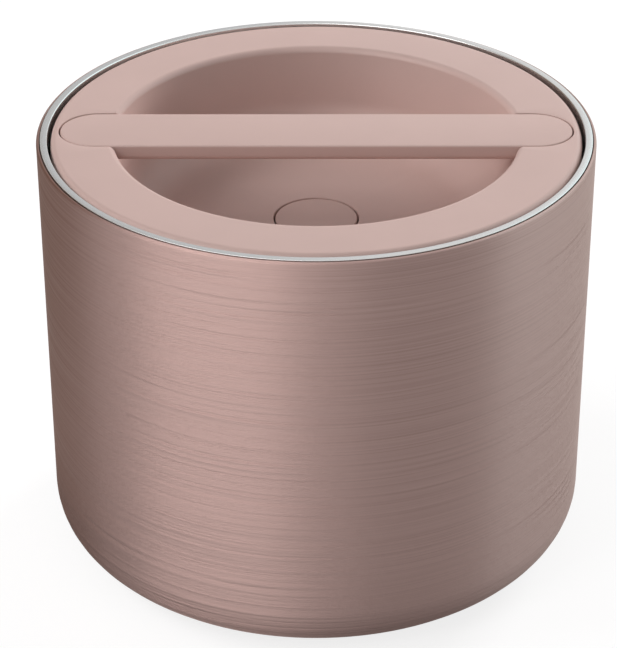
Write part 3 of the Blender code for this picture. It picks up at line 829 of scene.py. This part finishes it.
def handleBar():
    low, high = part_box("handle_bar")
    edge, grip = bar["topEdge"], bar["gripEdge"]
    rings = [(edge * (1 - s), -edge * (1 - c)) for s, c in quarterTurn(bar["topSteps"])]
    for s, c in quarterTurn(bar["gripSteps"]):
        rings.append((grip * (1 - c), grip * (1 - s) - bar["thickness"]))
    loops = []
    for inset, z in rings:
        outline = stadiumOutline(high.x - bar["trim"] - inset, high.y - inset)
        loops.append([(x, y, high.z + z) for x, y in outline])
    steps = []
    pegTop, boreTop = high.z - bar["thickness"] / 2, high.z - bar["boreTop"]
    for side in (1, -1):
        x = side * cover["pegPlace"]
        pin = peg(x, bar["pegRadius"], pegTop, low.z, bar["pegSegments"], bar["pegEdge"])
        bore = peg(x, bar["boreRadius"], boreTop, low.z - bar["boreOver"], bar["boreSegments"])
        steps += [("UNION", pin), ("DIFFERENCE", bore)]
    mesh = carve(skinLoops("handleBar", loops, caps=True), steps)
    addPiece("handle_bar_moulding", mesh, rosePlastic, "lid", "handle_bar")


# lid plug with its thread, floor and vent tube

plug = {
    "barrelRadius": 55.9 * mm,
    "barrelDepth": 12.15 * mm,      # from the plug's top
    "barrelEdge": 0.4 * mm,
    "wall": 2.0 * mm,
    "grooveRadius": 52.5 * mm,
    "grooveHeight": 4.8 * mm,
    "noseRadius": 54.2 * mm,
    "noseRound": 2.0 * mm,
    "tubeBore": 11.65 * mm,
    "tubeWall": 1.6 * mm,
    "tubeTop": 23.5 * mm,           # below the flange
    "passage": 2.3 * mm,
    "smallEdge": 0.3 * mm,          # groove, passage, tube and the step inside
    "floorRoot": 0.5 * mm,
    "threadTop": 10.8 * mm,         # centre of a ridge's upper end, below the flange
    "segments": 192,
}


def lidPlug():
    wall, edge, soft = plug["wall"], plug["smallEdge"], plug["barrelEdge"]
    barrel, groove, nose = plug["barrelRadius"], plug["grooveRadius"], plug["noseRadius"]
    bore = barrel - wall
    noseBore = groove - wall
    barrelBottom = plugTop - plug["barrelDepth"]
    grooveBottom = barrelBottom - plug["grooveHeight"]
    floor = plugBottom + wall
    stepLow = barrelBottom + wall
    tubeTop = flangeTop - plug["tubeTop"]
    tubeOut = plug["tubeBore"] + plug["tubeWall"]
    outline = softCorners([
        (barrel, plugTop, soft),
        (barrel, barrelBottom, soft),
        (groove, barrelBottom, edge),
        (groove, grooveBottom, edge),
        (nose, grooveBottom, soft),
        (nose, plugBottom, plug["noseRound"]),
        (plug["passage"], plugBottom, edge),
        (plug["passage"], floor, edge),
        (plug["tubeBore"], floor, edge),
        (plug["tubeBore"], tubeTop, edge),
        (tubeOut, tubeTop, edge),
        (tubeOut, floor, plug["floorRoot"]),
        (noseBore, floor, plug["floorRoot"]),
        (noseBore, stepLow, edge),
        (bore, stepLow + bore - noseBore, edge),
        (bore, plugTop, soft),
    ])
    mesh = turnOutline("lidPlug", outline, plug["segments"])
    mesh = carve(mesh, threadRidges(barrel, 1, wall / 4, flangeTop - plug["threadTop"]))
    addPiece("lid_plug_moulding", mesh, plugPlastic, "lid", "lid_plug")


# gasket

gasket = {"bore": 52.8 * mm, "chamfer": 1.0 * mm, "edge": 0.45 * mm, "segments": 192}


def lidGasket():
    low, high, radius = reachOf("lid_gasket")
    slant, edge = gasket["chamfer"], gasket["edge"]
    outline = softCorners([
        (radius, high, edge),
        (radius, low + slant, edge / 2),
        (radius - slant, low, edge / 2),
        (gasket["bore"], low, edge),
        (gasket["bore"], high, edge),
    ])
    mesh = turnOutline("lidGasket", outline, gasket["segments"])
    addPiece("lid_gasket_ring", mesh, silicone, "seal", "lid_gasket")


# vent: button, stem, valve disc, clip, sealing ring and spring

button = {
    "topEdge": 0.4 * mm,
    "plate": 1.8 * mm,
    "plateRoot": 0.4 * mm,
    "skirt": 4.5 * mm,
    "wall": 1.4 * mm,
    "lowerEdge": 0.2 * mm,
    "bossRadius": 3.2 * mm,
    "bossRoot": 0.3 * mm,
    "stemHole": 1.9 * mm,
    "stemBlind": 0.7 * mm,
    "segments": 96,
}


def ventButton():
    radius, boss, hole = buttonRadius, button["bossRadius"], button["stemHole"]
    skirt = radius - button["wall"]
    skirtLow = buttonTop - button["skirt"]
    plateLow = buttonTop - button["plate"]
    holeTop = buttonTop - button["stemBlind"]
    outline = softCorners([
        (0, buttonTop, 0),
        (radius, buttonTop, button["topEdge"]),
        (radius, skirtLow, button["lowerEdge"]),
        (skirt, skirtLow, button["lowerEdge"]),
        (skirt, plateLow, button["plateRoot"]),
        (boss, plateLow, button["bossRoot"]),
        (boss, buttonBottom, button["lowerEdge"]),
        (hole, buttonBottom, 0),
        (hole, holeTop, 0),
        (0, holeTop, 0),
    ], ring=False)
    mesh = turnOutline("ventButton", outline, button["segments"], ring=False)
    addPiece("vent_button_cap", mesh, rosePlastic, "vent", "vent_button")


stem = {
    "topEdge": 0.2 * mm,
    "tip": 0.5 * mm,
    "neck": 1.0 * mm,               # radius in the clip's groove
    "neckEdge": 0.05 * mm,
    "clipSlack": 0.3 * mm,          # groove past the clip, up and down
    "segments": 64,
}


def ventStem():
    low, high, radius = reachOf("vent_stem")
    clipLow, clipHigh = reachOf("vent_clip")[:2]
    neckTop, neckLow = clipHigh + stem["clipSlack"], clipLow - stem["clipSlack"]
    outline = softCorners([
        (0, high, 0),
        (radius, high, stem["topEdge"]),
        (radius, neckTop, stem["neckEdge"]),
        (stem["neck"], neckTop, stem["neckEdge"]),
        (stem["neck"], neckLow, stem["neckEdge"]),
        (radius, neckLow, stem["neckEdge"]),
        (radius, low, stem["tip"]),
        (0, low, 0),
    ], ring=False)
    mesh = turnOutline("ventStem", outline, stem["segments"], ring=False)
    addPiece("vent_stem_pin", mesh, smallSteel, "vent", "vent_stem")


valve = {"seatEdge": 0.25 * mm, "rimEdge": 0.4 * mm, "holeEdge": 0.2 * mm, "segments": 96}


def ventValve():
    low, high, radius = reachOf("vent_poppet")
    rim = (high - low) / 2
    outline = softCorners([
        (radius, high, valve["seatEdge"]),
        (radius, high - rim, valve["rimEdge"]),
        (radius - rim, low, valve["rimEdge"]),
        (button["stemHole"], low, valve["holeEdge"]),
        (button["stemHole"], high, valve["holeEdge"]),
    ])
    mesh = turnOutline("ventDisc", outline, valve["segments"])
    addPiece("vent_valve_disc", mesh, silicone, "vent", "vent_poppet")


clip = {"bore": 1.3 * mm, "edge": 0.12 * mm, "arcSteps": 3, "segments": 64}


def ventClip():
    low, high, radius = reachOf("vent_clip")
    outline = softCorners([
        (radius, high, clip["edge"]),
        (radius, low, clip["edge"]),
        (clip["bore"], low, clip["edge"]),
        (clip["bore"], high, clip["edge"]),
    ], steps=clip["arcSteps"])
    mesh = turnOutline("ventClip", outline, clip["segments"])
    addPiece("vent_clip_ring", mesh, smallSteel, "vent", "vent_clip")


sealRing = {"radius": 10.35 * mm, "sectionSteps": 24, "segments": 96}


def ventSealRing():
    low, high = reachOf("vent_ring")[:2]
    section, middle = (high - low) / 2, (low + high) / 2
    angles = [math.tau * k / sealRing["sectionSteps"] for k in range(sealRing["sectionSteps"])]
    outline = [onCircle(section, a, sealRing["radius"], middle) for a in angles]
    mesh = turnOutline("ventRing", outline, sealRing["segments"])
    addPiece("vent_sealing_ring", mesh, silicone, "lid", "vent_ring")


spring = {
    "radius": 5.4 * mm,
    "wire": 0.7 * mm,
    "turns": 4,
    "turnSteps": 32,
    "wireSteps": 4,
    "weld": 0.001 * mm,             # joins the wire's caps to its skin
    "travel": 2.0 * mm,
}


# coil spring as a round wire; it shortens with the button
def ventSpring():
    low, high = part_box("vent_spring")
    half = spring["wire"] / 2
    count = spring["turns"] * spring["turnSteps"]
    curve = bpy.data.curves.new("ventSpring", "CURVE")
    curve.dimensions = "3D"
    curve.bevel_depth = half
    curve.bevel_resolution = spring["wireSteps"]
    curve.use_fill_caps = True
    line = curve.splines.new("POLY")
    line.points.add(count)
    for k, point in enumerate(line.points):
        angle = math.tau * k / spring["turnSteps"]
        rise = low.z + half + (high.z - low.z - 2 * half) * k / count
        point.co = (*onCircle(spring["radius"], angle), rise, 1)
    drawn = looseObject("drawnSpring", curve)
    mesh = settledMesh(drawn)
    bpy.data.objects.remove(drawn)
    coil = bmesh.new()
    coil.from_mesh(mesh)
    bmesh.ops.remove_doubles(coil, verts=coil.verts, dist=spring["weld"])
    bmesh.ops.recalc_face_normals(coil, faces=coil.faces)
    coil.to_mesh(mesh)
    coil.free()
    piece = addPiece("vent_spring_coil", mesh, smallSteel, "lid", "vent_spring")
    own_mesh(piece)


outerShell()
foodVessel()
footPad()
baseDisc()
print("jar body built")
lidCover()
handleBar()
lidPlug()
lidGasket()
print("lid built")
ventButton()
ventStem()
ventValve()
ventClip()
ventSealRing()
ventSpring()
print("vent built")

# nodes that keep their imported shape, inside the walls and the lid
foam = insideFinish("whiteFoam")
hidden = {
    "heat_shield_foil": insideFinish("copperFoil"),
    "getter_pellet": insideFinish("getterMetal"),
    "port_seal_bead": insideFinish("solderGlass"),
    "lid_foam_ring": foam,
    "lid_foam_disc": foam,
    "handle_screw_left": smallSteel,
    "handle_screw_right": smallSteel,
}
for hiddenNode, finish in hidden.items():
    coat(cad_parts[hiddenNode].data, finish)
print("hidden pieces finished")

# floor, background and light

studio = {
    "floorRadius": 0.55,
    "floorSegments": 96,
    "floorDrop": 0.05 * mm,         # just clear of the foot
    "floorBounce": 0.8,
    "floorSeen": (0.80, 0.25),      # glow and shaded share, to the camera
    # distance and glow in reflections: a painted shadow makes it dark by the foot, pale further
    # out
    "floorMirrored": ((66 * mm, 0.17), (84 * mm, 0.50)),
    "mirroredCentre": (-8 * mm, 0, 0),
    "ambient": 0.41,
    "aim": 0.6,                     # share of the rim's height that the lamps point at
    "lamps": {
        # degrees round from the front and up, distance, width, height,
        # level on a facing surface, the finish that it shows on
        "sideKey": (-94, 38.7, 2.0, 1.2, 0.7, 0.47, "plastic"),
        "frontFill": (-45, 40, 2.0, 0.6, 0.6, 0.12, "plastic"),
        "backFill": (140, 15, 2.0, 0.8, 0.5, 0.98, "plastic"),
        "leftPanel": (-41, 34, 1.0, 1.1, 0.95, 0.81, "steel"),
    },
    "cards": {
        # from and to, in degrees round from the front, distance, height, colour
        "rightCard": (16, 70, 0.60, 0.75, (0.58, 0.575, 0.57)),
        "rightBackCard": (70, 160, 0.60, 0.75, (1.48, 1.75, 1.78)),
        "leftCard": (-158, -94, 0.60, 0.75, (0.275, 0.19, 0.13)),
        "backCard": (-180, -158, 0.60, 0.75, (0.72, 0.73, 0.74)),
    },
    "cardFoot": 1 * mm,
    "cardSteps": 16,
}


# material with its output alone, and the socket to link a surface to
def bareMaterial(name):
    material = bpy.data.materials.new(name)
    material.use_nodes = True
    tree = material.node_tree
    tree.nodes.clear()
    output = tree.nodes.new("ShaderNodeOutputMaterial")
    return material, tree, output.inputs["Surface"]


# 1 for rays of any of these kinds
def anyRay(tree, *kinds):
    path = tree.nodes.new("ShaderNodeLightPath")
    found = path.outputs[kinds[0]]
    for kind in kinds[1:]:
        found = addMath(tree, "MAXIMUM", found, path.outputs[kind])
    return found


# white glow with a share of plain shading, so that a shadow stays
def glowAndShade(tree, glow, share):
    lit = tree.nodes.new("ShaderNodeEmission")
    lit.inputs["Strength"].default_value = glow
    shaded = tree.nodes.new("ShaderNodeBsdfDiffuse")
    shaded.inputs["Color"].default_value = (share, share, share, 1)
    both = tree.nodes.new("ShaderNodeAddShader")
    tree.links.new(lit.outputs[0], both.inputs[0])
    tree.links.new(shaded.outputs[0], both.inputs[1])
    return both.outputs[0]


# the floor as the steel shows it, with a painted shadow round the foot
def mirroredFloor(tree):
    (near, low), (far, high) = studio["floorMirrored"]
    place = tree.nodes.new("ShaderNodeTexCoord")
    away = tree.nodes.new("ShaderNodeVectorMath")
    away.operation = "DISTANCE"
    away.inputs[1].default_value = studio["mirroredCentre"]
    glow = tree.nodes.new("ShaderNodeEmission")
    tree.links.new(place.outputs["Object"], away.inputs[0])
    # painted shadow: the glow rises with distance from the foot
    strength = addRange(tree, away.outputs["Value"], (near, far), (low, high))
    tree.links.new(strength, glow.inputs["Strength"])
    return glow.outputs[0]


def pickShader(tree, choice, first, second):
    pick = tree.nodes.new("ShaderNodeMixShader")
    for socket, source in zip(pick.inputs, (choice, first, second)):
        tree.links.new(source, socket)
    return pick.outputs[0]


def studioFloor():
    level = -studio["floorDrop"]
    outline = [(0, level), (studio["floorRadius"], level)]
    mesh = turnOutline("floor", outline, studio["floorSegments"], ring=False)
    floor = looseObject("floor", mesh)
    material, tree, surface = bareMaterial("whiteFloor")
    bounce = studio["floorBounce"]
    plain = tree.nodes.new("ShaderNodeBsdfDiffuse")
    plain.inputs["Color"].default_value = (bounce, bounce, bounce, 1)
    mirrored = anyRay(tree, "Is Glossy Ray", "Is Transmission Ray")
    bounced = pickShader(tree, mirrored, plain.outputs[0], mirroredFloor(tree))
    seen = glowAndShade(tree, *studio["floorSeen"])
    tree.links.new(pickShader(tree, anyRay(tree, "Is Camera Ray"), bounced, seen), surface)
    coat(mesh, material)


# upright strip that bends round the jar
def cardStrip(name, start, end, distance, height):
    steps = studio["cardSteps"]
    points = []
    for k in range(steps + 1):
        a = math.radians(start + (end - start) * k / steps)
        x, y = distance * math.sin(a), -distance * math.cos(a)
        points += [(x, y, studio["cardFoot"]), (x, y, height)]
    faces = [(k, k + 2, k + 3, k + 1) for k in range(0, 2 * steps, 2)]
    mesh = bpy.data.meshes.new(name)
    mesh.from_pydata(points, [], faces)
    return mesh


# glowing cards that stand round the jar and show only in the steel
def studioCards():
    for name, (*reach, colour) in studio["cards"].items():
        mesh = cardStrip(name, *reach)
        card = looseObject(name, mesh)
        material, tree, surface = bareMaterial(name)
        glow = tree.nodes.new("ShaderNodeEmission")
        glow.inputs["Color"].default_value = (*colour, 1.0)
        tree.links.new(glow.outputs[0], surface)
        coat(mesh, material)
        card.visible_camera = False
        card.visible_diffuse = False
        card.visible_shadow = False


# white where it is seen, straight or in a reflection, and dimmer as a light
def studioWorld():
    world = bpy.data.worlds.new("whiteRoom")
    scene.world = world
    world.use_nodes = True
    tree = world.node_tree
    background = tree.nodes["Background"]
    background.inputs["Color"].default_value = (1, 1, 1, 1)
    seen = anyRay(tree, "Is Camera Ray", "Is Glossy Ray", "Is Transmission Ray")
    strength = addRange(tree, seen, (0.0, 1.0), (studio["ambient"], 1.0))
    tree.links.new(strength, background.inputs["Strength"])


def studioLamps():
    target = Vector((0, 0, rimHeight * studio["aim"]))
    for name, settings in studio["lamps"].items():
        azimuth, elevation, distance, width, height, level, finish = settings
        a, e = math.radians(azimuth), math.radians(elevation)
        away = Vector((math.sin(a) * math.cos(e), -math.cos(a) * math.cos(e), math.sin(e)))
        light = bpy.data.lights.new(name, "AREA")
        light.shape = "RECTANGLE"
        light.size = width
        light.size_y = height
        light.energy = level * (math.pi * distance) ** 2
        lamp = looseObject(name, light)
        lamp.location = target + away * distance
        lamp.rotation_euler = (-away).to_track_quat("-Z", "Y").to_euler()
        lamp.visible_camera = False
        lamp.visible_glossy = finish == "steel"
        lamp.visible_diffuse = finish == "plastic"


# camera at the photo's place
view = {
    "frame": (617, 648),            # pixels, as are the next two
    "focal": 2472.5,
    "axisColumn": 316.28,           # column of the jar's axis
    "place": (0.0, -0.48113, 0.32641),
    "pitch": 29.988,                # degrees down
    "sensor": 36.0,
    "nearest": 10 * mm,
}


def photoCamera():
    width, height = view["frame"]
    lens = bpy.data.cameras.new("photoCamera")
    lens.sensor_width = view["sensor"]
    lens.lens = view["focal"] / height * lens.sensor_width
    lens.shift_x = (width / 2 - view["axisColumn"]) / height
    lens.clip_start = view["nearest"]
    camera = looseObject("photoCamera", lens)
    camera.location = view["place"]
    camera.rotation_euler = (math.radians(90 - view["pitch"]), 0, 0)
    scene.camera = camera


studioFloor()
studioCards()
studioWorld()
studioLamps()
photoCamera()
scene.view_settings.view_transform = "Standard"
print("studio ready")
